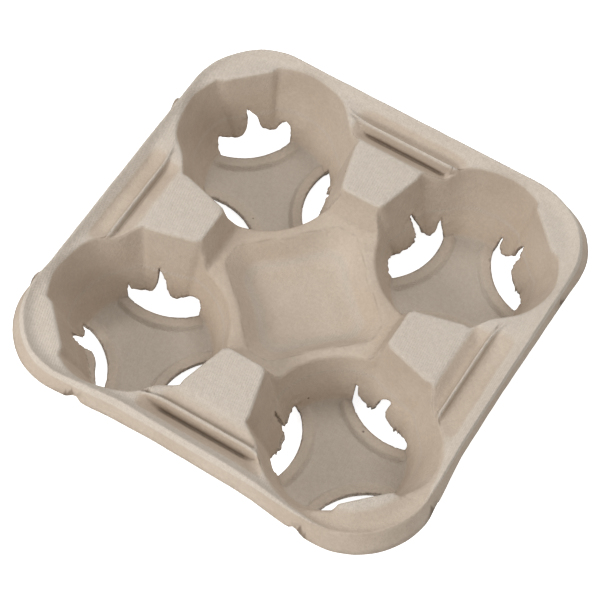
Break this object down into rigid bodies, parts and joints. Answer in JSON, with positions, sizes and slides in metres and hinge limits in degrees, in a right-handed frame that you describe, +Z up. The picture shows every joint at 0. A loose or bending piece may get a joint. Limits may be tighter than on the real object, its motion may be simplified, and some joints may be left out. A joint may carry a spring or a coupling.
{
  "type": "cardboard cup carrier",
  "caption": "Square moulded pulp carrier with round cup pockets, raised grip blocks between them, side windows under sprung pads and a shallow recess in the middle.",
  "frame": {"origin": "middle of the carrier at the underside of the cup floors", "axes": "+Z up; +X and +Y towards two of the four equal sides"},
  "size_m": [0.216, 0.216, 0.0488],
  "materials": {
    "moulded_pulp": "matt, fibrous"
  },
  "bodies": {
    "root": {"carrier": "moulded_pulp"}
  },
  "joints": []
}
